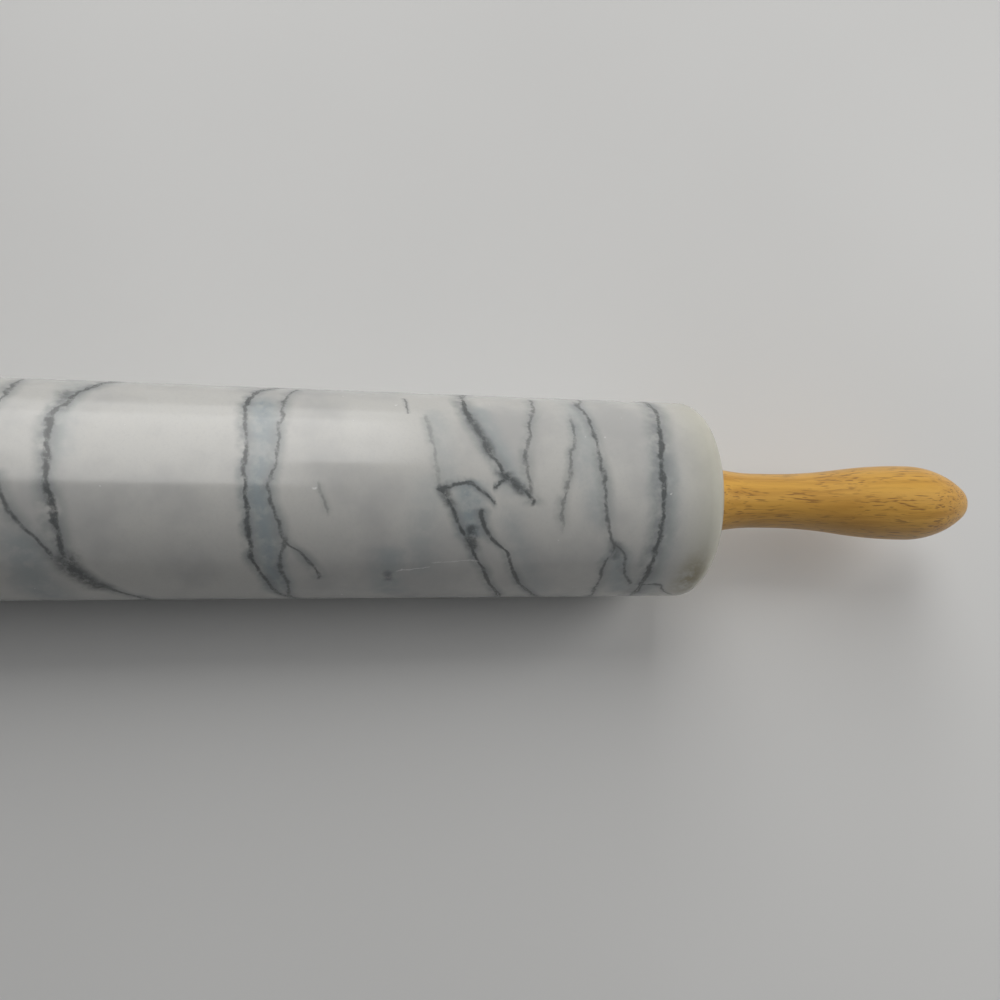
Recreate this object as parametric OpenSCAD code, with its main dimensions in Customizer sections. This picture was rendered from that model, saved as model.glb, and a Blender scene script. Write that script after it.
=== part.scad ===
// Rolling pin with a polished marble roller and turned wooden handles.
// The roller carries a nylon bush in each end of its bore and spins on a steel axle.
// The handles screw on the axle's stubs, each against a washer that the axle's shoulder carries.
// Millimetres. The origin is the roller's centre, +X runs along the axle and +Z is up.

/* [Roller] */
// Diameter of the marble roller
roller_d = 60; // [50:1:80]
// Length of the marble roller
roller_len = 254; // [200:1:400]
// Rounding of the roller's rims
rim_r = 6; // [2:0.5:10]
// Diameter of the bore drilled through the marble
bore_d = 14; // [13:0.5:18]
// Chamfer at the bore's two mouths
bore_chamfer = 1; // [0.5:0.25:1.5]

/* [Bushes] */
// Length of a bush's sleeve in the marble
bush_len = 24; // [16:1:40]
// Diameter of a bush's flange
bush_flange_d = 22; // [19:0.5:30]
// Thickness of a bush's flange
bush_flange_t = 2.5; // [1.5:0.25:4]
// Number of ribs that centre the sleeve in the bore
bush_ribs = 6; // [3:1:8]
// Height of the ribs over the sleeve, which leaves room for glue
bush_rib_h = 0.3; // [0.2:0.05:0.5]

/* [Axle] */
// Diameter of the axle where the bushes run
axle_d = 8; // [7.5:0.5:10]
// Diameter of the threaded stubs
stub_d = 6; // [5:0.25:6.5]
// Length of a stub past the axle's shoulder
stub_len = 26; // [20:1:34]
// Length of the undercut between the shoulder and the thread
undercut_len = 1.5; // [1:0.25:3]

/* [Washers] */
// Diameter of a washer
washer_d = 17; // [13:0.5:17.5]
// Thickness of a washer
washer_t = 1.6; // [1:0.1:3]

/* [Inserts] */
// Diameter of an insert's body
insert_d = 10; // [9:0.25:11]
// Length of an insert with its flange
insert_len = 16; // [12:1:20]
// Diameter of an insert's flange
insert_flange_d = 13; // [12:0.5:15]
// Thickness of an insert's flange
insert_flange_t = 1.2; // [0.8:0.1:2]
// Number of glue grooves round an insert
insert_grooves = 4; // [2:1:5]
// Depth of the hexagonal socket that an insert is driven by
hex_depth = 4; // [2:0.5:6]

/* [Handles] */
// Diameter of the handle's neck
neck_d = 17.2; // [16:0.1:21]
// Distance from the handle's flared end to its neck
neck_from = 17.5; // [12:0.5:22]
// Length of the neck's straight stretch
neck_len = 4.5; // [2:0.5:12]
// Radius of the hollow between the flared end and the neck
flare_r = 67; // [50:1:110]
// Rounding of the flared end's edge
end_round = 1.5; // [0.5:0.25:2]
// Diameter of the grip at its widest place
grip_d = 24.3; // [22:0.1:32]
// Distance from the handle's flared end to the grip's widest place
grip_at = 72; // [60:1:90]
// Distance from the grip's widest place to the handle's tip
tip_len = 23; // [19:0.5:34]
// Radius of the rounded tip
tip_r = 6.8; // [4:0.1:9]
// Bore left in the wood past the end of the stub
stub_room = 2; // [1:0.5:6]

/* [Fits] */
// Clearance on the radius where the axle runs in the bushes
running_gap = 0.06; // [0.03:0.01:0.1]
// Float between each bush and its washer
end_float = 0.3; // [0.2:0.05:0.6]
// Clearance on the radius of glued and screwed seats
seat_gap = 0.02; // [0.01:0.01:0.04]
// Clearance on the radius of the washers and of the wood round the stubs
loose_gap = 0.2; // [0.1:0.05:0.3]
// Chamfer on turned and pressed metal edges
edge_break = 0.3; // [0.1:0.1:0.4]

/* [Hidden] */
turn_fn = 96;
arc_steps = 10;

right = 1;
left = -1;

marble = [0.86, 0.86, 0.85];
nylon = [0.93, 0.92, 0.88];
steel = [0.62, 0.63, 0.65];
brass = [0.80, 0.63, 0.30];
wood = [0.78, 0.60, 0.32];

roller_r = roller_d / 2;
roller_end = roller_len / 2;
bore_r = bore_d / 2;
axle_r = axle_d / 2;
stub_r = stub_d / 2;

// Each piece along the axle starts where the one before it ends.
bush_face = roller_end + bush_flange_t;
shoulder_at = bush_face + end_float;
handle_at = shoulder_at + washer_t;
stub_end = shoulder_at + stub_len;

sleeve_r = bore_r - bush_rib_h;
rib_r = 2 * bush_rib_h;
lead = 1;
flange_round = 0.8;

thread_depth = 0.6;
washer_hole_r = stub_r + loose_gap;

insert_bore_r = stub_r + seat_gap;
hex_gap = 0.2;
hex_r = (stub_r + hex_gap) / cos(30);
groove_depth = 0.5;
groove_w = 1.2;
groove_pitch = (insert_len - insert_flange_t) / (insert_grooves + 1);

// The handle's outline is a chain of arcs, each tangent to the next.
neck_r = neck_d / 2;
grip_r = grip_d / 2;
neck_to = neck_from + neck_len;
flare_centre = [neck_r + flare_r, neck_from];
end_face_r = flare_centre.x - sqrt(pow(flare_r + end_round, 2) - pow(neck_from - end_round, 2));
flare_angle = asin((neck_from - end_round) / (flare_r + end_round));
swell = grip_r - neck_r;
swell_len = grip_at - neck_to;
swell_r = (pow(swell, 2) + pow(swell_len, 2)) / (4 * swell);
swell_angle = asin(swell_len / 2 / swell_r);
tip_centre = tip_len - tip_r;
shoulder_r = (pow(grip_r, 2) + pow(tip_centre, 2) - pow(tip_r, 2)) / (2 * (grip_r - tip_r));
shoulder_angle = atan2(tip_centre, shoulder_r - grip_r);
stub_bore_len = stub_len - washer_t + stub_room;
drill_point = 59;

// Points along an arc after its first one.
function arc(centre, r, from, to) = [
    for (i = [1 : arc_steps])
        let (angle = from + (to - from) * i / arc_steps)
        centre + r * [cos(angle), sin(angle)]
];

// Lays a shape that is turned about Z along the axle, starting at the given place.
module along_axle(at = 0) translate([at, 0, 0]) rotate([0, 90, 0]) children();

// Puts an end piece on the right or, turned half round, on the left.
module on_side(side) rotate([0, 0, side == left ? 180 : 0]) children();

// Half of a lengthwise section: from the axis out to a radius, between two places.
module band(from, to, r) translate([0, from]) square([r, to - from]);

// Half section of a round bar with rounded ends.
module rounded_bar(from, to, r, round_r) {
    band(from, to, r - round_r);
    band(from + round_r, to - round_r, r);
    for (y = [from + round_r, to - round_r]) translate([r - round_r, y]) circle(round_r, $fn = turn_fn);
}

// Cuts a bore with a chamfer at each end.
module chamfered_bore(from, to, r, chamfer) {
    over = 1;
    translate([0, 0, from - over]) cylinder(h = to - from + 2 * over, r = r, $fn = turn_fn);
    translate([0, 0, from - over])
        cylinder(h = chamfer + over, r1 = r + chamfer + over, r2 = r, $fn = turn_fn);
    translate([0, 0, to - chamfer])
        cylinder(h = chamfer + over, r1 = r, r2 = r + chamfer + over, $fn = turn_fn);
}

// The roller is one stone, ground round and polished, with a bore from end to end.
module marble_roller() {
    color(marble) along_axle() difference() {
        rotate_extrude($fn = 2 * turn_fn) rounded_bar(-roller_end, roller_end, roller_r, rim_r);
        chamfered_bore(-roller_end, roller_end, bore_r, bore_chamfer);
    }
}

// A moulded bush, from its flange's inner face: the sleeve points back into the roller.
module bush() {
    flange_r = bush_flange_d / 2;
    face_round = min(flange_round, bush_flange_t / 2);
    color(nylon) along_axle(roller_end) difference() {
        union() {
            rotate_extrude($fn = turn_fn) polygon(concat(
                [
                    [0, -bush_len],
                    [sleeve_r - lead / 2, -bush_len],
                    [sleeve_r, lead - bush_len],
                    [sleeve_r, 0],
                    [flange_r, 0],
                    [flange_r, bush_flange_t - face_round]
                ],
                arc([flange_r - face_round, bush_flange_t - face_round], face_round, 0, 90),
                [[0, bush_flange_t]]
            ));
            for (i = [0 : bush_ribs - 1]) rotate([0, 0, (i + 0.5) * 360 / bush_ribs]) bush_rib();
        }
        chamfered_bore(-bush_len, bush_flange_t, axle_r + running_gap, edge_break);
    }
}

// A half-round rib that holds the sleeve in the middle of the marble's bore.
module bush_rib() {
    translate([bore_r - seat_gap - rib_r, 0, 2 * lead - bush_len])
        cylinder(h = bush_len - 3 * lead, r = rib_r, $fn = turn_fn);
}

// Half section of the axle's right end, from the shoulder's chamfer to the stub's tip.
function stub_section() = [
    [axle_r, shoulder_at - edge_break],
    [axle_r - edge_break, shoulder_at],
    [stub_r - thread_depth, shoulder_at],
    [stub_r - thread_depth, shoulder_at + undercut_len - thread_depth],
    [stub_r, shoulder_at + undercut_len],
    [stub_r, stub_end - thread_depth],
    [stub_r - thread_depth, stub_end],
    [0, stub_end]
];

// The axle turns down to a stub at each end, with an undercut where the thread runs out.
module axle_rod() {
    half = stub_section();
    other_half = [for (i = [len(half) - 1 : -1 : 0]) [half[i].x, -half[i].y]];
    color(steel) along_axle() rotate_extrude($fn = turn_fn) polygon(concat(half, other_half));
}

// The washer carries the end thrust between the bush and the handle.
module washer() {
    color(steel) along_axle(shoulder_at) rotate_extrude($fn = turn_fn) polygon([
        [washer_hole_r, 0],
        [washer_d / 2 - edge_break, 0],
        [washer_d / 2, edge_break],
        [washer_d / 2, washer_t - edge_break],
        [washer_d / 2 - edge_break, washer_t],
        [washer_hole_r, washer_t]
    ]);
}

// A flanged insert lies flush in the handle's end and takes the stub's thread.
module insert() {
    color(brass) along_axle(handle_at) difference() {
        rotate_extrude($fn = turn_fn) difference() {
            union() {
                band(0, insert_flange_t, insert_flange_d / 2);
                band(0, insert_len, insert_d / 2);
            }
            for (i = [1 : insert_grooves])
                translate([insert_d / 2 - groove_depth, insert_flange_t + i * groove_pitch - groove_w / 2])
                    square([2 * groove_depth, groove_w]);
        }
        chamfered_bore(0, insert_len, insert_bore_r, edge_break);
        translate([0, 0, -1]) cylinder(h = hex_depth + 1, r = hex_r, $fn = 6);
    }
}

// Half section of the turned handle, from its flared end to its tip.
module handle_outline() {
    polygon(concat(
        [[0, 0], [end_face_r, 0]],
        arc([end_face_r, end_round], end_round, -90, flare_angle),
        arc(flare_centre, flare_r, 180 + flare_angle, 180),
        [[neck_r, neck_to]],
        arc([neck_r + swell_r, neck_to], swell_r, 180, 180 - swell_angle),
        arc([grip_r - swell_r, grip_at], swell_r, -swell_angle, 0),
        arc([grip_r - shoulder_r, grip_at], shoulder_r, 0, shoulder_angle),
        arc([0, grip_at + tip_centre], tip_r, shoulder_angle, 90)
    ));
}

// The handle is turned from one piece of wood, with a stepped blind bore for its insert and stub.
module handle() {
    insert_room = 0.5;
    stub_bore_r = stub_r + loose_gap;
    color(wood) along_axle(handle_at) difference() {
        rotate_extrude($fn = turn_fn) handle_outline();
        translate([0, 0, -1])
            cylinder(h = insert_flange_t + 1, r = insert_flange_d / 2 + seat_gap, $fn = turn_fn);
        cylinder(h = insert_len + insert_room, r = insert_d / 2 + seat_gap, $fn = turn_fn);
        cylinder(h = stub_bore_len, r = stub_bore_r, $fn = turn_fn);
        translate([0, 0, stub_bore_len])
            cylinder(h = stub_bore_r / tan(drill_point), r1 = stub_bore_r, r2 = 0, $fn = turn_fn);
    }
}

module left_bush() on_side(left) bush();
module right_bush() on_side(right) bush();
module left_washer() on_side(left) washer();
module right_washer() on_side(right) washer();
module left_insert() on_side(left) insert();
module right_insert() on_side(right) insert();
module left_handle() on_side(left) handle();
module right_handle() on_side(right) handle();

marble_roller();
left_bush();
right_bush();
axle_rod();
left_washer();
right_washer();
left_insert();
right_insert();
left_handle();
right_handle();
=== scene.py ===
"""Looks of a marble rolling pin: a veined marble roller between two lacquered wooden handles.

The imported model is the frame. The roller and the handles get finer turned meshes in its place,
and the bushes, washers, inserts and axle keep their own meshes and get a better finish.
Lengths are metres unless a name says mm, and the roller's axis is X.
"""

import logging
import math
from dataclasses import dataclass, field
from enum import Enum

import bpy
from mathutils import Matrix, Vector

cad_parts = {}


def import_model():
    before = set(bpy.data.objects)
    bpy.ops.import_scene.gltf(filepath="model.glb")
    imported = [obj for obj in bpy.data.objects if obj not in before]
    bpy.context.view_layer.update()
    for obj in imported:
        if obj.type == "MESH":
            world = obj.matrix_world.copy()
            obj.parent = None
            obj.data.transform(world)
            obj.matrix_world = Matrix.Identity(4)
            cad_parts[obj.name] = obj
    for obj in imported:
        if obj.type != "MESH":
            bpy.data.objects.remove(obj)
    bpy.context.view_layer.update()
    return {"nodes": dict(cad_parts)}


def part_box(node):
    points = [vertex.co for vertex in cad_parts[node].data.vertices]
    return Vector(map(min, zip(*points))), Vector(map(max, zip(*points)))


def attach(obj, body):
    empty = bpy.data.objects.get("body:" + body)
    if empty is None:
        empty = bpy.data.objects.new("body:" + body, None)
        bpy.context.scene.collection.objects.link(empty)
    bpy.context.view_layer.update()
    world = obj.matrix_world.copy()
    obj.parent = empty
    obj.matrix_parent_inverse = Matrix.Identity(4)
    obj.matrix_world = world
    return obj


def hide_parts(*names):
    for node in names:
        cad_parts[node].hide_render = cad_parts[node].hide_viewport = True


LOG = logging.getLogger("rolling_pin")
MM = 0.001
FULL_TURN = 2 * math.pi

Point = tuple[float, float]
Colour = tuple[float, float, float]


class Body(Enum):
    """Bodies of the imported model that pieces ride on."""

    HANDLES = "handles"
    ROLLER = "roller"


class Side(Enum):
    """Ends of the pin."""

    LEFT = "left"
    RIGHT = "right"


def rgba(colour: Colour) -> tuple[float, float, float, float]:
    """Returns the colour with full opacity."""
    return (*colour, 1.0)


class NodeSheet:
    """Lays nodes in one node tree and links them."""

    def __init__(self, tree: bpy.types.NodeTree) -> None:
        """Starts on a tree.

        Args:
            tree: The material's or group's node tree.
        """
        self.tree = tree

    def add(self, kind: str, **settings: object) -> bpy.types.Node:
        """Adds a node.

        Args:
            kind: The node's type name.
            **settings: Properties to set on it.

        Returns:
            The new node.
        """
        node = self.tree.nodes.new(kind)
        for name, value in settings.items():
            setattr(node, name, value)
        return node

    def feed(self, socket: bpy.types.NodeSocket, value: object) -> None:
        """Links a socket to an input, or sets the input's value.

        Args:
            socket: The input to feed.
            value: An output socket or a plain value.
        """
        if isinstance(value, bpy.types.NodeSocket):
            self.tree.links.new(value, socket)
        else:
            socket.default_value = value

    def math(self, operation: str, *values: object) -> bpy.types.NodeSocket:
        """Adds a Math node.

        Args:
            operation: The node's operation.
            *values: Sockets or numbers for its inputs.

        Returns:
            The result's socket.
        """
        node = self.add("ShaderNodeMath", operation=operation)
        for socket, value in zip(node.inputs, values):
            self.feed(socket, value)
        return node.outputs[0]

    def smooth(self, value: object, low: object, high: object, top: float = 1.0) -> bpy.types.NodeSocket:
        """Adds a smooth step from 0 at low to top at high.

        Args:
            value: The value to step.
            low: Where the result is 0.
            high: Where the result is top. It may be under low.
            top: The largest result.

        Returns:
            The result's socket.
        """
        node = self.add("ShaderNodeMapRange", interpolation_type="SMOOTHSTEP")
        for name, item in (("Value", value), ("From Min", low), ("From Max", high), ("To Max", top)):
            self.feed(node.inputs[name], item)
        return node.outputs["Result"]

    def noise(self, vector: bpy.types.NodeSocket, scale: float, detail: float = 2.0,
              roughness: float = 0.5) -> bpy.types.NodeSocket:
        """Adds a noise texture.

        Args:
            vector: Where to read it.
            scale: Features per unit of the vector.
            detail: Number of finer layers.
            roughness: Strength of the finer layers.

        Returns:
            The noise value's socket, about 0.5 on average.
        """
        node = self.add("ShaderNodeTexNoise")
        for name, item in (("Vector", vector), ("Scale", scale), ("Detail", detail), ("Roughness", roughness)):
            self.feed(node.inputs[name], item)
        return node.outputs[0]

    def mix(self, factor: object, a: object, b: object) -> bpy.types.NodeSocket:
        """Blends two colours.

        Args:
            factor: Share of b.
            a: First colour.
            b: Second colour.

        Returns:
            The colour's socket.
        """
        node = self.add("ShaderNodeMix", data_type="RGBA")
        factor_in, a_in, b_in = node.inputs[0], node.inputs[6], node.inputs[7]
        self.feed(factor_in, factor)
        self.feed(a_in, rgba(a) if isinstance(a, tuple) else a)
        self.feed(b_in, rgba(b) if isinstance(b, tuple) else b)
        return node.outputs[2]

    def stretched(self, vector: bpy.types.NodeSocket, scale: tuple[float, float, float]) -> bpy.types.NodeSocket:
        """Scales a vector along each axis.

        Args:
            vector: The vector to scale.
            scale: The scale along X, Y and Z.

        Returns:
            The scaled vector's socket.
        """
        node = self.add("ShaderNodeMapping")
        self.feed(node.inputs["Vector"], vector)
        self.feed(node.inputs["Scale"], scale)
        return node.outputs[0]

    def group(self, tree: bpy.types.NodeTree, **values: object) -> bpy.types.Node:
        """Places a node group.

        Args:
            tree: The group.
            **values: Values of its inputs, with underscores for spaces.

        Returns:
            The group's node.
        """
        node = self.add("ShaderNodeGroup", node_tree=tree)
        for name, value in values.items():
            self.feed(node.inputs[name.replace("_", " ")], value)
        return node

    def bump(self, height: object, strength: float, distance: float) -> bpy.types.NodeSocket:
        """Adds a bump.

        Args:
            height: The height's socket.
            strength: How strongly it turns the normal.
            distance: Height in metres of a full step.

        Returns:
            The normal's socket.
        """
        node = self.add("ShaderNodeBump")
        for name, item in (("Height", height), ("Strength", strength), ("Distance", distance)):
            self.feed(node.inputs[name], item)
        return node.outputs[0]


def new_group(name: str, inputs: dict[str, float], outputs: tuple[str, ...]) -> tuple[bpy.types.NodeTree, NodeSheet]:
    """Starts a shader node group of number sockets.

    Args:
        name: The group's name.
        inputs: Input names and their defaults.
        outputs: Output names.

    Returns:
        The group's tree and a sheet to lay its nodes on.
    """
    tree = bpy.data.node_groups.new(name, "ShaderNodeTree")
    for label, default in inputs.items():
        tree.interface.new_socket(label, in_out="INPUT", socket_type="NodeSocketFloat").default_value = default
    for label in outputs:
        tree.interface.new_socket(label, in_out="OUTPUT", socket_type="NodeSocketFloat")
    return tree, NodeSheet(tree)


def new_material(name: str) -> tuple[bpy.types.Material, NodeSheet, bpy.types.Node, bpy.types.NodeSocket]:
    """Starts a material.

    Args:
        name: The material's name.

    Returns:
        The material, its sheet, its Principled shader and the object coordinates in metres.
    """
    material = bpy.data.materials.new(name)
    material.use_nodes = True
    sheet = NodeSheet(material.node_tree)
    shader = material.node_tree.nodes["Principled BSDF"]
    place = sheet.add("ShaderNodeTexCoord").outputs["Object"]
    return material, sheet, shader, place


def turning_marks() -> bpy.types.NodeTree:
    """Builds the group of fine rings that a lathe leaves round the X axis.

    Returns:
        The group, with the inputs Pitch and Wander and the outputs Rings and Wear.
    """
    tree, sheet = new_group("turning_marks", {"Pitch": 900.0, "Wander": 0.3}, ("Rings", "Wear"))
    ends = sheet.add("NodeGroupInput")
    out = sheet.add("NodeGroupOutput")
    place = sheet.add("ShaderNodeTexCoord").outputs["Object"]
    x = sheet.add("ShaderNodeSeparateXYZ")
    sheet.feed(x.inputs[0], place)
    along = sheet.math("MULTIPLY", x.outputs[0], ends.outputs["Pitch"])
    loose = sheet.math("MULTIPLY", sheet.noise(place, 300.0), ends.outputs["Wander"])
    line = sheet.add("ShaderNodeCombineXYZ")
    sheet.feed(line.inputs[0], sheet.math("ADD", along, loose))
    sheet.feed(out.inputs["Rings"], sheet.noise(line.outputs[0], 1.0, 3.0))
    sheet.feed(out.inputs["Wear"], sheet.smooth(sheet.noise(place, 60.0, 4.0), 0.4, 0.7))
    return tree


def vein_group() -> bpy.types.NodeTree:
    """Builds the group that turns a distance from a vein's line into masks.

    Returns:
        The group. Offset is the distance in mm, Along the place on the vein's own course with its
        Start, End and Fade, and Width and Halo are half widths in mm.
    """
    inputs = {"Offset": 0.0, "Along": 0.0, "Start": 0.0, "End": 1.0, "Fade": 1.0,
              "Width": 1.0, "Halo": 3.0, "Strength": 1.0}
    tree, sheet = new_group("vein", inputs, ("Core", "Halo"))
    given = sheet.add("NodeGroupInput").outputs
    out = sheet.add("NodeGroupOutput")
    away = sheet.math("ABSOLUTE", given["Offset"])
    first = sheet.smooth(given["Along"], sheet.math("SUBTRACT", given["Start"], given["Fade"]), given["Start"])
    last = sheet.smooth(given["Along"], sheet.math("ADD", given["End"], given["Fade"]), given["End"])
    there = sheet.math("MULTIPLY", sheet.math("MULTIPLY", first, last), given["Strength"])
    core = sheet.smooth(away, given["Width"], sheet.math("MULTIPLY", given["Width"], 0.15))
    halo = sheet.smooth(away, given["Halo"], 0.0)
    sheet.feed(out.inputs["Core"], sheet.math("MULTIPLY", core, there))
    sheet.feed(out.inputs["Halo"], sheet.math("MULTIPLY", halo, there))
    return tree


@dataclass(frozen=True)
class Vein:
    """One vein on the roller's surface.

    A course is a list of pairs. A vein that runs round the roller has (degrees, mm along the axle),
    and one that runs along it has (mm, degrees). Degrees start at the top and grow towards the cook.
    """

    course: tuple[Point, ...]
    width: float = 0.9
    halo: float = 4.0
    strength: float = 1.0
    lengthwise: bool = False
    fade: float = 4.0


# Veins that close round the roller. Their stretches under and behind it are free inventions.
BOW = Vein((
    (-180, -40), (-150, -36), (-120, -42), (-90, -38), (-75, -41), (-60, -46), (-52, -49), (-45, -52),
    (-36, -54), (-30, -56.5), (-15, -57.5), (0, -57), (15, -56), (30, -55), (45, -54), (52, -52.5),
    (60, -49), (67, -45.5), (75, -41.5), (85, -36), (120, -30), (150, -36), (180, -40)), 1.3, 5.0)
PAIR_LEFT = Vein((
    (-180, 24), (-130, 16), (-80, 4), (-45, -8), (-34, -9.3), (-15, -9), (8, -9), (22, -8), (30, -7.8),
    (40, -7.4), (47, -7), (54, -5.7), (60, -4), (67, -2.3), (75, -0.5), (88, 4.5), (120, 12), (180, 24)),
    0.95, 3.5)
NET_MAIN = Vein((
    (-180, 46), (-130, 50), (-90, 56), (-62, 52.5), (-52, 51), (-38, 51.3), (-32, 51.8), (-27, 52.8),
    (-20, 54.4), (-12, 55.8), (-6, 58), (2, 60.3), (5, 62.5), (8, 65), (11, 67), (14, 68)), 1.1, 4.5)
NET_LOW = Vein((
    (9, 42), (14, 44), (19, 45.5), (25, 47), (30, 48.7), (34, 50), (40, 52), (45, 53), (55, 56),
    (63, 57.5), (78, 62), (100, 64), (130, 58), (180, 46)), 0.9, 3.5)
HOOP = Vein((
    (-180, 101), (-140, 106), (-100, 113), (-60, 109), (-45, 109.2), (-30, 107.6), (-20, 106.8),
    (0, 106.2), (22, 106), (37, 105.3), (45, 105), (70, 105), (85, 105), (110, 101), (150, 98),
    (180, 101)), 1.2, 6.0, 0.95)

# Veins of the side that the photograph shows.
SHORT_VEINS = (
    Vein(((-62, 5), (-55, 3.3), (-45, 1.5), (-38, 0.5), (-30, 0), (-22, -0.8), (-5, -1.5), (10, -3),
          (15, -2.9), (22, -1.5), (27, -0.6), (37, 1.5), (42, 5), (49, 8), (60, 11)), 0.8, 3.5, 0.75),
    Vein(((36, 1.4), (54, 0.6), (67, 2.5), (88, 4.5)), 0.9, 3.0, 0.7),
    Vein(((20, 53.3), (26, 54), (31, 55.7), (35, 57.2), (39, 59.6), (42, 61.4), (48, 62.8), (55, 64.6),
          (60, 66), (70, 69), (78, 72), (100, 78), (130, 80)), 0.9, 3.0, 0.95),
    Vein(((-58, 72), (-45, 71), (-30, 69), (-22, 68.3), (-15, 67.2), (-5, 66.6), (0, 66.8), (6, 67.3),
          (12, 67.6)), 0.9, 3.5, 0.6),
    Vein(((-30, 81.5), (-15, 80), (0, 78.5), (5, 77.6), (10, 76.7), (15, 76.2), (20, 76)),
         0.8, 3.0, 0.5, fade=14.0),
    Vein(((-50, 85.5), (-35, 87), (-15, 87.4), (0, 88.3), (15, 89), (22, 89.7), (30, 90.7), (36, 92),
          (40, 93.3), (45, 92.6), (50, 91.4), (65, 91.8), (75, 91.6), (85, 92.6), (110, 90)),
         0.9, 3.5, 0.7, fade=12.0),
    Vein(((38, 93), (43, 96), (53, 98), (61, 99.5), (68, 101.5)), 0.8, 3.0, 0.7),
    Vein(((-34, 39), (-20, 40), (-8, 40.6), (0, 41), (9, 42)), 0.9, 3.0, 0.35),
    Vein(((-52, 34.5), (-38, 33.8)), 0.5, 1.2, 0.6, fade=2.0),
    Vein(((8, 9.6), (20, 11.8)), 0.6, 2.0, 0.35),
    Vein(((5, -69), (20, -66), (30, -62), (38, -59), (46, -56.5)), 0.9, 4.0, 0.8),
    Vein(((-62, -66), (-45, -68.5), (-30, -71), (-10, -74)), 1.0, 3.5, 0.7),
    Vein(((41.5, 9), (45.5, 6), (51, 5.5), (53, 9), (55, 11.5), (56.5, 15)), 0.8, 2.5, 0.95,
         lengthwise=True, fade=1.0),
    Vein(((57, 7), (60, 3)), 0.8, 2.0, 0.9, lengthwise=True, fade=1.0),
    Vein(((105, 70), (109, 69), (111.5, 70), (113.5, 76), (118, 86)), 0.7, 2.0, 0.7,
         lengthwise=True, fade=1.0),
)

# Veins of the left end and the back, which the photograph doesn't show.
UNSEEN_VEINS = (
    Vein(((-180, -92), (-140, -86), (-100, -90), (-60, -84), (-20, -88), (20, -85), (60, -93),
          (100, -98), (140, -95), (180, -92)), 1.1, 5.0, 0.85),
    Vein(((-90, -112), (-50, -106), (-10, -109), (30, -103), (70, -105), (110, -100)), 0.8, 3.5, 0.6),
    Vein(((-150, 80), (-120, 76), (-95, 84), (-70, 88), (-50, 85.5)), 0.9, 3.5, 0.6),
    Vein(((100, -70), (130, -62), (160, -68), (180, -74)), 0.9, 4.0, 0.6),
    Vein(((-180, -74), (-150, -66), (-120, -60), (-90, -64)), 0.9, 4.0, 0.6),
    Vein(((100, -12), (130, -4), (160, -10), (180, -16)), 0.8, 3.5, 0.5),
)

# Blue-grey and dark fills between veins.
PATCHES = (
    Vein(((-40, -4.5), (-15, -5), (10, -6), (30, -4), (50, -2), (70, 0)), 4.6, 6.5, 1.0, fade=12.0),
    Vein(((6, 50), (15, 50), (24, 50.5), (32, 51.2)), 4.6, 7.0, 1.0, fade=4.0),
    Vein(((-40, 54.5), (-15, 58), (5, 63)), 2.6, 6.0, 0.6, fade=10.0),
    Vein(((0, 106.5), (30, 107), (60, 107.5), (80, 108)), 3.2, 8.0, 0.5, fade=30.0),
    Vein(((45, 95), (60, 97), (75, 99)), 3.5, 7.0, 0.7, fade=10.0),
    Vein(((-60, -53), (-30, -54), (-10, -54.5)), 3.0, 6.0, 0.4, fade=15.0),
    Vein(((-50, 84.5), (-20, 83.5), (0, 84.5), (20, 87)), 3.0, 7.0, 0.45, fade=15.0),
    Vein(((-35, 42), (-10, 43), (5, 45)), 3.0, 6.0, 0.35, fade=10.0),
    Vein(((10, 39), (30, 37.5), (50, 38)), 3.0, 8.0, 0.35, fade=15.0),
    Vein(((40, -63), (60, -61), (80, -58)), 3.0, 9.0, 0.7, fade=15.0),
    Vein(((45, 30), (60, 29.5), (75, 31)), 3.0, 8.0, 0.6, fade=10.0),
    Vein(((25, 62), (50, 68), (75, 74)), 3.0, 6.0, 0.35, fade=15.0),
)
DARK_PATCHES = (
    Vein(((29, 51.2), (40, 52.2)), 1.9, 2.8, 0.95, fade=3.0),
    Vein(((58, 29.5), (62, 29.8)), 1.4, 2.2, 0.5, fade=4.0),
    Vein(((48, -53.5), (60, -50), (68, -46)), 2.0, 4.5, 0.9, fade=8.0),
    Vein(((-45, -55), (-33, -54.5)), 2.0, 3.5, 0.45, fade=6.0),
    Vein(((38, 93.5), (46, 94)), 1.4, 3.0, 0.5, fade=4.0),
    Vein(((-32, 52), (-20, 54.6), (-12, 56.2)), 1.4, 2.2, 0.8, fade=4.0),
    Vein(((0, 60), (5, 63), (9, 65.5)), 1.4, 2.6, 0.9, fade=3.0),
    Vein(((8, 42.5), (16, 44.5)), 1.4, 2.4, 0.8, fade=3.0),
)
SCRATCHES = (
    Vein(((32, 56), (36, 54.6), (40.5, 53)), 0.28, 0.4, 0.7, lengthwise=True, fade=1.0),
    Vein(((42, 50), (48, 49), (53.5, 48)), 0.25, 0.4, 0.5, lengthwise=True, fade=1.0),
    Vein(((8.2, 9), (8.9, 9)), 0.5, 0.6, 0.9, lengthwise=True, fade=0.4),
)


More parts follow.
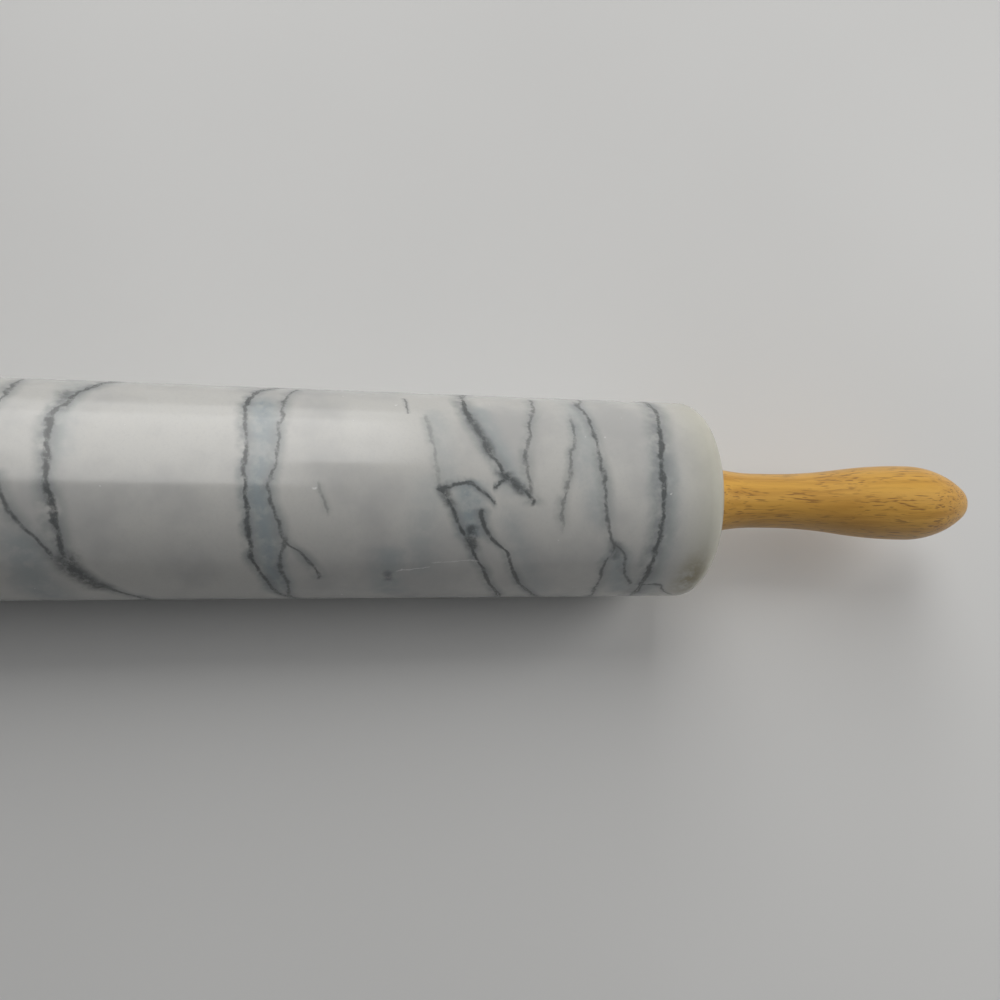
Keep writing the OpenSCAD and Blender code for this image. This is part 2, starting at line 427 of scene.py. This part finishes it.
@dataclass(frozen=True)
class MarbleFinish:
    """Polished white marble with grey veins, clouds, flecks and an old stain, with a painted warm glow at its right
    end.
    """

    white: Colour = (0.59, 0.585, 0.56)
    cloud: Colour = (0.45, 0.45, 0.445)
    patch: Colour = (0.30, 0.345, 0.365)
    shade: Colour = (0.22, 0.24, 0.245)
    core: Colour = (0.045, 0.05, 0.052)
    # Tint of the painted warm glow at the stone's right end.
    painted_glow_tint: Colour = (0.56, 0.54, 0.42)
    stain: Colour = (0.30, 0.25, 0.13)
    fleck: Colour = (0.80, 0.80, 0.79)
    roughness: float = 0.17
    half_len_mm: float = 127.0
    radius_mm: float = 30.0

    def course(self, sheet: NodeSheet, vein: Vein, along: object) -> bpy.types.NodeSocket:
        """Adds the curve of a vein's course.

        Args:
            sheet: The sheet to lay it on.
            vein: The vein.
            along: Where on the course to read it, in the course's first unit.

        Returns:
            The socket of the course's second value, in its own unit.
        """
        ranges = (self.half_len_mm, 180.0) if vein.lengthwise else (180.0, self.half_len_mm)
        curve = sheet.add("ShaderNodeFloatCurve")
        points = curve.mapping.curves[0].points
        for place, value in zip(points, (vein.course[0], vein.course[-1])):
            place.location = [(v / r + 1) / 2 for v, r in zip(value, ranges)]
        for value in vein.course[1:-1]:
            points.new(*[(v / r + 1) / 2 for v, r in zip(value, ranges)])
        curve.mapping.extend = "HORIZONTAL"
        curve.mapping.update()
        share = sheet.math("MULTIPLY_ADD", along, 0.5 / ranges[0], 0.5)
        sheet.feed(curve.inputs["Value"], share)
        return sheet.math("MULTIPLY_ADD", curve.outputs[0], 2 * ranges[1], -ranges[1])

    def masks(self, sheet: NodeSheet, veins: tuple[Vein, ...], group: bpy.types.NodeTree,
              x_mm: object, degrees: object, swell: object) -> tuple[object, object]:
        """Adds veins and joins their masks.

        Args:
            sheet: The sheet to lay them on.
            veins: The veins.
            group: The vein group.
            x_mm: Place along the axle.
            degrees: Angle round the axle.
            swell: Factor on the veins' widths, which changes over the stone.

        Returns:
            The sockets of the cores' mask and of the halos' mask.
        """
        core: object = 0.0
        halo: object = 0.0
        mm_per_degree = math.radians(self.radius_mm)
        for vein in veins:
            along, across = (x_mm, degrees) if vein.lengthwise else (degrees, x_mm)
            offset = sheet.math("SUBTRACT", across, self.course(sheet, vein, along))
            if vein.lengthwise:
                offset = sheet.math("MULTIPLY", offset, mm_per_degree)
            first, last = vein.course[0], vein.course[-1]
            run = (last[0] - first[0]) * (1.0 if vein.lengthwise else mm_per_degree)
            rise = (last[1] - first[1]) * (mm_per_degree if vein.lengthwise else 1.0)
            slant = run / math.hypot(run, rise)
            mask = sheet.group(group, Offset=sheet.math("MULTIPLY", offset, slant), Along=along,
                               Start=first[0], End=last[0], Fade=vein.fade, Halo=vein.halo,
                               Width=sheet.math("MULTIPLY", swell, vein.width), Strength=vein.strength)
            core = sheet.math("MAXIMUM", core, mask.outputs["Core"])
            halo = sheet.math("MAXIMUM", halo, mask.outputs["Halo"])
        return core, halo

    def material(self) -> bpy.types.Material:
        """Builds the material."""
        material, sheet, shader, place = new_material("polished_marble")
        axes = sheet.add("ShaderNodeSeparateXYZ")
        sheet.feed(axes.inputs[0], place)
        mm = sheet.stretched(place, (1000.0, 1000.0, 1000.0))
        broad = sheet.math("SUBTRACT", sheet.noise(mm, 0.07, 2.0), 0.5)
        middling = sheet.math("SUBTRACT", sheet.noise(mm, 0.32, 3.0, 0.6), 0.5)
        crumble = sheet.math("SUBTRACT", sheet.noise(mm, 1.5, 3.0, 0.7), 0.5)
        wander = sheet.math("MULTIPLY_ADD", broad, 3.0, sheet.math("MULTIPLY_ADD", middling, 2.4,
                            sheet.math("MULTIPLY", crumble, 0.5)))
        x_mm = sheet.math("MULTIPLY_ADD", axes.outputs[0], 1000.0, wander)
        towards_cook = sheet.math("MULTIPLY", axes.outputs[1], -1.0)
        angle = sheet.math("ARCTAN2", towards_cook, axes.outputs[2])
        degrees = sheet.math("MULTIPLY_ADD", angle, math.degrees(1), sheet.math("MULTIPLY", middling, 4.0))
        swell = sheet.math("MULTIPLY_ADD", sheet.noise(mm, 0.22, 3.0, 0.65), 2.6, -0.35)
        thick = sheet.math("MAXIMUM", swell, 0.25)
        vein = vein_group()
        closed = (BOW, PAIR_LEFT, NET_MAIN, NET_LOW, HOOP)
        core, halo = self.masks(sheet, closed + SHORT_VEINS + UNSEEN_VEINS, vein, x_mm, degrees, thick)
        _, fill = self.masks(sheet, PATCHES, vein, x_mm, degrees, 1.0)
        _, dark = self.masks(sheet, DARK_PATCHES, vein, x_mm, degrees, 1.0)

        cloud_mask = sheet.smooth(sheet.noise(mm, 0.035, 4.0, 0.55), 0.42, 0.68)
        grain = sheet.noise(mm, 1.1, 5.0, 0.75)
        colour = sheet.mix(sheet.math("MULTIPLY", cloud_mask, 0.8), self.white, self.cloud)
        colour = sheet.mix(sheet.smooth(grain, 0.45, 0.8, 0.35), colour, self.cloud)
        # Painted warm glow: the right end of the stone turns warm towards its rim.
        painted_end_glow = sheet.smooth(axes.outputs[0], 0.108, 0.127, 0.6)
        colour = sheet.mix(painted_end_glow, colour, self.painted_glow_tint)
        patchy = sheet.math("MULTIPLY_ADD", sheet.smooth(sheet.noise(mm, 0.25, 4.0, 0.6), 0.3, 0.6), 0.5, 0.5)
        colour = sheet.mix(sheet.math("MULTIPLY", fill, patchy), colour, self.patch)
        soft = sheet.math("MULTIPLY", halo, sheet.smooth(sheet.noise(mm, 0.16, 3.0, 0.6), 0.2, 0.6))
        colour = sheet.mix(sheet.math("MULTIPLY", soft, 0.85), colour, self.shade)
        colour = sheet.mix(self.old_stain(sheet, axes, angle, mm), colour, self.stain)
        gaps = sheet.smooth(sheet.noise(mm, 0.5, 4.0, 0.65), 0.32, 0.56)
        solid = sheet.math("MULTIPLY_ADD", gaps, 0.65, 0.35)
        ink = sheet.math("MULTIPLY", sheet.math("MAXIMUM", core, dark), solid)
        colour = sheet.mix(sheet.math("MULTIPLY", ink, 0.9), colour, self.core)
        specks = sheet.smooth(sheet.noise(mm, 0.55, 1.0), 0.80, 0.84, 0.7)
        scratches, _ = self.masks(sheet, SCRATCHES, vein, x_mm, degrees, 1.0)
        colour = sheet.mix(sheet.math("MAXIMUM", specks, scratches), colour, self.fleck)
        sheet.feed(shader.inputs["Base Color"], colour)
        polish = sheet.math("MULTIPLY_ADD", ink, 0.12, sheet.math("MULTIPLY_ADD", middling, 0.06, self.roughness))
        sheet.feed(shader.inputs["Roughness"], polish)
        relief = sheet.math("MULTIPLY_ADD", ink, -0.6, crumble)
        sheet.feed(shader.inputs["Normal"], sheet.bump(relief, 0.12, 0.00004))
        shader.inputs["Subsurface Weight"].default_value = 0.25
        shader.inputs["Subsurface Radius"].default_value = (1.0, 0.95, 0.85)
        shader.inputs["Subsurface Scale"].default_value = 0.003
        return material

    def old_stain(self, sheet: NodeSheet, axes: bpy.types.Node, angle: object, mm: object) -> bpy.types.NodeSocket:
        """Adds the mask of the brown stain near the right rim.

        Args:
            sheet: The sheet to lay it on.
            axes: The node with the separate coordinates.
            angle: The angle round the axle in radians.
            mm: The coordinates in mm.

        Returns:
            The mask's socket.
        """
        stain_x, stain_angle, stain_r = 0.1195, math.radians(63), 0.0075
        dx = sheet.math("SUBTRACT", axes.outputs[0], stain_x)
        da = sheet.math("MULTIPLY", sheet.math("SUBTRACT", angle, stain_angle), self.radius_mm * MM * 0.45)
        away = sheet.math("SQRT", sheet.math("ADD", sheet.math("MULTIPLY", dx, dx), sheet.math("MULTIPLY", da, da)))
        patchy = sheet.smooth(sheet.noise(mm, 0.25, 4.0, 0.65), 0.3, 0.6)
        return sheet.math("MULTIPLY", sheet.smooth(away, stain_r, 0.0, 0.75), patchy)


@dataclass(frozen=True)
class WoodFinish:
    """Turned hardwood with short dark pores along the grain, under a satin lacquer."""

    light: Colour = (0.69, 0.38, 0.065)
    deep: Colour = (0.50, 0.245, 0.033)
    pore: Colour = (0.22, 0.09, 0.012)
    roughness: float = 0.38

    def material(self) -> bpy.types.Material:
        """Builds the material."""
        material, sheet, shader, place = new_material("lacquered_wood")
        shift = sheet.noise(place, 25.0, 2.0)
        bend = sheet.add("ShaderNodeVectorMath", operation="MULTIPLY_ADD")
        sheet.feed(bend.inputs[0], shift)
        sheet.feed(bend.inputs[1], (0.0, 0.004, 0.004))
        sheet.feed(bend.inputs[2], place)
        grain_place = bend.outputs[0]
        streaks = sheet.noise(sheet.stretched(grain_place, (14.0, 330.0, 330.0)), 1.0, 4.0, 0.6)
        bands = sheet.noise(sheet.stretched(grain_place, (5.0, 95.0, 95.0)), 1.0, 3.0, 0.5)
        pores = sheet.noise(sheet.stretched(grain_place, (160.0, 2000.0, 2000.0)), 1.0, 1.0)
        lanes = sheet.smooth(sheet.noise(sheet.stretched(grain_place, (30.0, 260.0, 260.0)), 1.0, 2.0), 0.30, 0.58)
        pore_mask = sheet.math("MULTIPLY", sheet.smooth(pores, 0.54, 0.68), lanes)
        colour = sheet.mix(sheet.smooth(streaks, 0.32, 0.72), self.light, self.deep)
        colour = sheet.mix(sheet.smooth(bands, 0.4, 0.75, 0.5), colour, self.deep)
        colour = sheet.mix(sheet.math("MULTIPLY", pore_mask, 0.8), colour, self.pore)
        sheet.feed(shader.inputs["Base Color"], colour)
        sheet.feed(shader.inputs["Roughness"], sheet.math("MULTIPLY_ADD", streaks, 0.2, self.roughness - 0.1))
        sheet.feed(shader.inputs["Normal"], sheet.bump(sheet.math("MULTIPLY", pore_mask, -1.0), 0.35, 0.0001))
        shader.inputs["Coat Weight"].default_value = 0.15
        shader.inputs["Coat Roughness"].default_value = 0.3
        return material


@dataclass(frozen=True)
class MetalFinish:
    """Turned metal with fine rings and duller patches."""

    name: str
    colour: Colour
    dull: Colour
    roughness: float
    pitch: float

    def material(self, marks: bpy.types.NodeTree) -> bpy.types.Material:
        """Builds the material.

        Args:
            marks: The group of turning marks.

        Returns:
            The material.
        """
        material, sheet, shader, _ = new_material(self.name)
        group = sheet.group(marks, Pitch=self.pitch, Wander=0.4)
        rings, wear = group.outputs["Rings"], group.outputs["Wear"]
        sheet.feed(shader.inputs["Base Color"], sheet.mix(sheet.math("MULTIPLY", wear, 0.5), self.colour, self.dull))
        sheet.feed(shader.inputs["Roughness"], sheet.math("MULTIPLY_ADD", wear, 0.18, self.roughness))
        sheet.feed(shader.inputs["Normal"], sheet.bump(rings, 0.25, 0.00005))
        shader.inputs["Metallic"].default_value = 1.0
        return material


@dataclass(frozen=True)
class NylonFinish:
    """Moulded off-white nylon with a faint grain."""

    fresh: Colour = (0.72, 0.70, 0.63)
    rubbed: Colour = (0.52, 0.50, 0.45)
    roughness: float = 0.42

    def material(self, marks: bpy.types.NodeTree) -> bpy.types.Material:
        """Builds the material.

        Args:
            marks: The group of turning marks, here the rings that running leaves.

        Returns:
            The material.
        """
        material, sheet, shader, place = new_material("moulded_nylon")
        group = sheet.group(marks, Pitch=500.0, Wander=1.0)
        wear = group.outputs["Wear"]
        grain = sheet.noise(place, 2500.0, 3.0)
        sheet.feed(shader.inputs["Base Color"], sheet.mix(sheet.math("MULTIPLY", wear, 0.6), self.fresh, self.rubbed))
        sheet.feed(shader.inputs["Roughness"], sheet.math("MULTIPLY_ADD", grain, 0.15, self.roughness))
        height = sheet.math("MULTIPLY_ADD", group.outputs["Rings"], 0.3, grain)
        sheet.feed(shader.inputs["Normal"], sheet.bump(height, 0.2, 0.00005))
        return material


def deselect_all() -> None:
    """Leaves edit mode and deselects everything."""
    if bpy.context.object and bpy.context.object.mode != "OBJECT":
        bpy.ops.object.mode_set(mode="OBJECT")
    bpy.ops.object.select_all(action="DESELECT")


def turned_piece(name: str, outline: list[Point], steps: int, closed: bool = False) -> bpy.types.Object:
    """Turns an outline round the X axis, as on a lathe.

    Args:
        name: The piece's name.
        outline: Points (x, radius) in order. They start and end on the axis, or form a loop.
        steps: Number of steps round the axis.
        closed: Whether the outline is a loop.

    Returns:
        The new object, smooth except at edges over 35 degrees.
    """
    deselect_all()
    bpy.ops.mesh.primitive_plane_add(size=MM)
    piece = bpy.context.object
    piece.name = name
    piece.data.name = name
    bpy.ops.object.mode_set(mode="EDIT")
    bpy.ops.mesh.select_all(action="SELECT")
    bpy.ops.mesh.merge(type="CENTER")
    x, r = outline[0]
    bpy.ops.transform.translate(value=(x, 0, r))
    rest = outline[1:] + ([outline[0]] if closed else [])
    for next_x, next_r in rest:
        bpy.ops.mesh.extrude_region_move(TRANSFORM_OT_translate={"value": (next_x - x, 0, next_r - r)})
        x, r = next_x, next_r
    bpy.ops.mesh.select_all(action="SELECT")
    bpy.ops.mesh.spin(steps=steps, angle=FULL_TURN, center=(0, 0, 0), axis=(1, 0, 0))
    bpy.ops.mesh.select_all(action="SELECT")
    bpy.ops.mesh.remove_doubles(threshold=2e-6)
    bpy.ops.mesh.normals_make_consistent(inside=False)
    bpy.ops.object.mode_set(mode="OBJECT")
    bpy.ops.object.shade_smooth_by_angle(angle=math.radians(35))
    return piece


def arc(centre: Point, r: float, start: float, end: float, steps: int) -> list[Point]:
    """Finds points along an arc.

    Args:
        centre: The arc's centre, as (x, radius).
        r: The arc's radius.
        start: Angle of its first point in radians, from the +x direction.
        end: Angle of its last point.
        steps: Number of steps between them.

    Returns:
        The points after the first.
    """
    angles = [start + (end - start) * i / steps for i in range(1, steps + 1)]
    return [(centre[0] + r * math.cos(a), centre[1] + r * math.sin(a)) for a in angles]


@dataclass
class Roller:
    """The marble roller and the bushes in its ends."""

    rim_r: float = 6 * MM
    bore_r: float = 7 * MM
    chamfer: float = 1 * MM
    steps: int = 256
    rim_steps: int = 16
    pieces: list[bpy.types.Object] = field(default_factory=list)

    def build(self) -> None:
        """Turns the stone at the place and size of its node."""
        low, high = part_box("marble_roller")
        end, r = high[0], -low[2]
        flat = r - self.rim_r
        quarter = math.pi / 2
        right = [(end - self.chamfer, self.bore_r), (end, self.bore_r + self.chamfer), (end, flat)]
        right += arc((end - self.rim_r, flat), self.rim_r, 0.0, quarter, self.rim_steps)
        left = [(-x, y) for x, y in reversed(right)]
        stone = turned_piece("marble", right + left, self.steps, closed=True)
        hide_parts("marble_roller")
        self.pieces = [stone]

    def dress(self, nodes: dict[str, bpy.types.Object], marble: bpy.types.Material,
              nylon: bpy.types.Material) -> None:
        """Gives the stone and the bushes their finishes.

        Args:
            nodes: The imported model's nodes.
            marble: The stone's material.
            nylon: The bushes' material.
        """
        for piece in self.pieces:
            set_material(piece, marble)
            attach(piece, Body.ROLLER.value)
        for side in Side:
            set_material(nodes[f"{side.value}_bush"], nylon)


@dataclass
class Handles:
    """The two wooden handles, with the axle, washers and inserts that join them."""

    neck_r: float = 8.6 * MM
    neck_from: float = 17.5 * MM
    neck_len: float = 4.5 * MM
    flare_r: float = 67 * MM
    end_round: float = 1.5 * MM
    grip_r: float = 12.15 * MM
    grip_at: float = 72 * MM
    tip_r: float = 6.8 * MM
    flange_r: float = 6.52 * MM
    flange_t: float = 1.2 * MM
    insert_r: float = 5.02 * MM
    insert_room: float = 16.5 * MM
    stub_r: float = 3.2 * MM
    stub_room: float = 26.4 * MM
    drill_point: float = math.radians(59)
    steps: int = 128
    arc_steps: int = 12
    pieces: list[bpy.types.Object] = field(default_factory=list)

    def bore(self) -> list[Point]:
        """Returns the stepped bore's outline, from the drill's point to the mouth."""
        point = self.stub_room + self.stub_r / math.tan(self.drill_point)
        return [
            (point, 0.0), (self.stub_room, self.stub_r), (self.insert_room, self.stub_r),
            (self.insert_room, self.insert_r), (self.flange_t, self.insert_r),
            (self.flange_t, self.flange_r), (0.0, self.flange_r),
        ]

    def outside(self, length: float) -> list[Point]:
        """Finds the outside of a handle as tangent arcs, from its end face to its tip.

        Args:
            length: The handle's length.

        Returns:
            The outline's points.
        """
        flare_y = self.neck_r + self.flare_r
        reach = self.neck_from - self.end_round
        face_r = flare_y - math.sqrt((self.flare_r + self.end_round) ** 2 - reach ** 2)
        tilt = math.asin(reach / (self.flare_r + self.end_round))
        neck_to = self.neck_from + self.neck_len
        swell, swell_len = self.grip_r - self.neck_r, self.grip_at - neck_to
        swell_r = (swell ** 2 + swell_len ** 2) / (4 * swell)
        turn = math.asin(swell_len / 2 / swell_r)
        tip_centre = length - self.grip_at - self.tip_r
        shoulder_r = (self.grip_r ** 2 + tip_centre ** 2 - self.tip_r ** 2) / (2 * (self.grip_r - self.tip_r))
        shoulder = math.atan2(tip_centre, shoulder_r - self.grip_r)
        up, down, n = math.pi / 2, -math.pi / 2, self.arc_steps
        return [
            (0.0, face_r),
            *arc((self.end_round, face_r), self.end_round, -math.pi, -math.pi - up + tilt, n),
            *arc((self.neck_from, flare_y), self.flare_r, down - tilt, down, n),
            (neck_to, self.neck_r),
            *arc((neck_to, self.neck_r + swell_r), swell_r, down, down + turn, n),
            *arc((self.grip_at, self.grip_r - swell_r), swell_r, up + turn, up, n),
            *arc((self.grip_at, self.grip_r - shoulder_r), shoulder_r, up, up - shoulder, n),
            *arc((self.grip_at + tip_centre, 0.0), self.tip_r, up - shoulder, 0.0, n),
        ]

    def build(self) -> None:
        """Turns one handle at the right and copies it, turned round, to the left."""
        low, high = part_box("right_handle")
        start = low[0]
        outline = self.bore() + self.outside(high[0] - start)
        outline[-1] = (outline[-1][0], 0.0)
        right = turned_piece("right_grip", [(x + start, r) for x, r in outline], self.steps)
        left = right.copy()
        left.data = right.data.copy()
        left.name = left.data.name = "left_grip"
        left.data.transform(Matrix.Rotation(math.pi, 4, "Z"))
        bpy.context.collection.objects.link(left)
        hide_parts("right_handle")
        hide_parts("left_handle")
        self.pieces = [right, left]

    def dress(self, nodes: dict[str, bpy.types.Object], wood: bpy.types.Material,
              steel: bpy.types.Material, brass: bpy.types.Material) -> None:
        """Gives the handles and their hardware their finishes.

        Args:
            nodes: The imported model's nodes.
            wood: The handles' material.
            steel: The axle's and washers' material.
            brass: The inserts' material.
        """
        for piece in self.pieces:
            set_material(piece, wood)
            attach(piece, Body.HANDLES.value)
        set_material(nodes["axle_rod"], steel)
        for side in Side:
            set_material(nodes[f"{side.value}_washer"], steel)
            set_material(nodes[f"{side.value}_insert"], brass)


def set_material(piece: bpy.types.Object, material: bpy.types.Material) -> None:
    """Gives a piece one material.

    Args:
        piece: The piece.
        material: Its finish.
    """
    piece.data.materials.clear()
    piece.data.materials.append(material)


@dataclass(frozen=True)
class Lamp:
    """A soft rectangular light behind the pin, aimed at a place on its axis."""

    name: str
    x: float
    lean_deg: float
    distance: float
    size: Point
    power: float
    aim_x: float
    lights_up: bool = True
    mirrored: bool = True

    def hang(self) -> None:
        """Hangs the lamp. Its lean is measured from straight up, away from the cook."""
        light = bpy.data.lights.new(self.name, "AREA")
        light.shape = "RECTANGLE"
        light.size, light.size_y = self.size
        light.energy = self.power
        light.color = (1.0, 0.99, 0.97)
        lamp = bpy.data.objects.new(self.name, light)
        lean = math.radians(self.lean_deg)
        place = Vector((self.x, self.distance * math.sin(lean), self.distance * math.cos(lean)))
        aim = Vector((self.aim_x, 0, 0)) - place
        lamp.matrix_world = Matrix.Translation(place) @ aim.to_track_quat("-Z", "Y").to_matrix().to_4x4()
        lamp.visible_diffuse = self.lights_up
        lamp.visible_glossy = self.mirrored
        bpy.context.collection.objects.link(lamp)


def seen_rays(sheet: NodeSheet) -> bpy.types.NodeSocket:
    """Adds the test for rays that see the background.

    Args:
        sheet: The sheet to lay it on.

    Returns:
        A socket that is 1 for camera, mirror and glass rays, and 0 for the light's own.
    """
    rays = sheet.add("ShaderNodeLightPath").outputs
    seen = sheet.math("MAXIMUM", rays["Is Camera Ray"], rays["Is Transmission Ray"])
    return sheet.math("MAXIMUM", seen, rays["Is Glossy Ray"])


@dataclass
class Studio:
    """The pale table, the window light in three panes, the room's light and the camera."""

    table_size: float = 8.0
    table_colour: Colour = (0.72, 0.72, 0.715)
    table_fade: Point = (0.7, 2.2)
    lamps: tuple[Lamp, ...] = (
        Lamp("window", -0.135, 48.5, 1.6, (0.93, 1.6), 16.5, -0.135),
        Lamp("skylight", -0.175, 9.5, 1.6, (0.55, 0.71), 3.9, -0.175, lights_up=False),
        Lamp("far_pane", -0.135, 92.0, 1.6, (0.93, 1.0), 5.3, -0.135, lights_up=False),
        Lamp("side_window", 0.75, 10.0, 0.6, (0.5, 0.6), 3.2, 0.1, mirrored=False),
    )
    room: Colour = (0.07, 0.072, 0.075)
    backdrop: Colour = (0.55, 0.555, 0.56)
    lens_mm: float = 39.6
    camera_x: float = -0.0146
    camera_height: float = 0.3203
    camera_lean: float = math.radians(12)
    camera_turn: float = math.radians(14.12)
    camera_nod: float = math.radians(-0.17)
    camera_roll: float = math.radians(0.89)

    def table(self) -> None:
        """Lays the table under the roller."""
        low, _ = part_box("marble_roller")
        deselect_all()
        bpy.ops.mesh.primitive_grid_add(x_subdivisions=8, y_subdivisions=8, size=self.table_size,
                                        location=(0, 0, low[2]))
        table = bpy.context.object
        table.name = "table"
        bpy.ops.object.transform_apply(location=True, rotation=False, scale=False)
        material, sheet, shader, place = new_material("pale_table")
        cloud = sheet.smooth(sheet.noise(place, 3.0, 3.0), 0.3, 0.7)
        darker = tuple(0.93 * part for part in self.table_colour)
        sheet.feed(shader.inputs["Base Color"], sheet.mix(cloud, self.table_colour, darker))
        sheet.feed(shader.inputs["Normal"], sheet.bump(sheet.noise(place, 1500.0, 2.0), 0.05, 0.0001))
        shader.inputs["Roughness"].default_value = 0.55
        length = sheet.add("ShaderNodeVectorMath", operation="LENGTH")
        sheet.feed(length.inputs[0], place)
        far = sheet.smooth(length.outputs["Value"], *self.table_fade)
        glow = sheet.add("ShaderNodeEmission")
        sheet.feed(glow.inputs["Color"], rgba(self.backdrop))
        blend = sheet.add("ShaderNodeMixShader")
        sheet.feed(blend.inputs[0], sheet.math("MULTIPLY", far, seen_rays(sheet)))
        sheet.feed(blend.inputs[1], shader.outputs[0])
        sheet.feed(blend.inputs[2], glow.outputs[0])
        sheet.feed(material.node_tree.nodes["Material Output"].inputs["Surface"], blend.outputs[0])
        set_material(table, material)

    def lights(self) -> None:
        """Hangs the lamps and sets the room's light."""
        for lamp in self.lamps:
            lamp.hang()
        world = bpy.data.worlds.new("room")
        bpy.context.scene.world = world
        world.use_nodes = True
        sheet = NodeSheet(world.node_tree)
        background = world.node_tree.nodes["Background"]
        sheet.feed(background.inputs["Color"], sheet.mix(seen_rays(sheet), self.room, self.backdrop))

    def camera(self) -> None:
        """Sets the camera over the pin, leaning towards the cook, as the photograph was taken."""
        turn, nod, roll = self.camera_turn, self.camera_nod, self.camera_roll
        ahead = Vector((math.sin(turn), 0, -math.cos(turn)))
        across = Vector((math.cos(turn), 0, math.sin(turn)))
        up = Vector((0, 1, 0))
        ahead, up = ahead * math.cos(nod) + up * math.sin(nod), up * math.cos(nod) - ahead * math.sin(nod)
        across, up = across * math.cos(roll) + up * math.sin(roll), up * math.cos(roll) - across * math.sin(roll)
        basis = Matrix((across, up, -ahead)).transposed()
        lean = Matrix.Rotation(self.camera_lean, 3, "X")
        data = bpy.data.cameras.new("camera")
        data.lens = self.lens_mm
        data.sensor_width = 36.0
        camera = bpy.data.objects.new("camera", data)
        bpy.context.collection.objects.link(camera)
        place = Vector((self.camera_x, 0, 0)) + lean @ Vector((0, 0, self.camera_height))
        camera.matrix_world = Matrix.Translation(place) @ (lean @ basis).to_4x4()
        bpy.context.scene.camera = camera

    def build(self) -> None:
        """Sets up everything round the pin."""
        self.table()
        self.lights()
        self.camera()
        bpy.context.scene.view_settings.view_transform = "Standard"


def main() -> None:
    """Builds the pin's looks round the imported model."""
    logging.basicConfig(level=logging.INFO)
    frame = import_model()
    Studio().build()
    marks = turning_marks()
    steel = MetalFinish("turned_steel", (0.56, 0.57, 0.58), (0.40, 0.40, 0.41), 0.26, 1400.0).material(marks)
    brass = MetalFinish("turned_brass", (0.72, 0.50, 0.20), (0.48, 0.33, 0.14), 0.30, 1100.0).material(marks)
    nylon = NylonFinish().material(marks)
    roller = Roller()
    roller.build()
    roller.dress(frame["nodes"], MarbleFinish().material(), nylon)
    handles = Handles()
    handles.build()
    handles.dress(frame["nodes"], WoodFinish().material(), steel, brass)
    for piece in roller.pieces + handles.pieces:
        LOG.info("%s: %d faces", piece.name, len(piece.data.polygons))


if __name__ == "__main__":
    main()
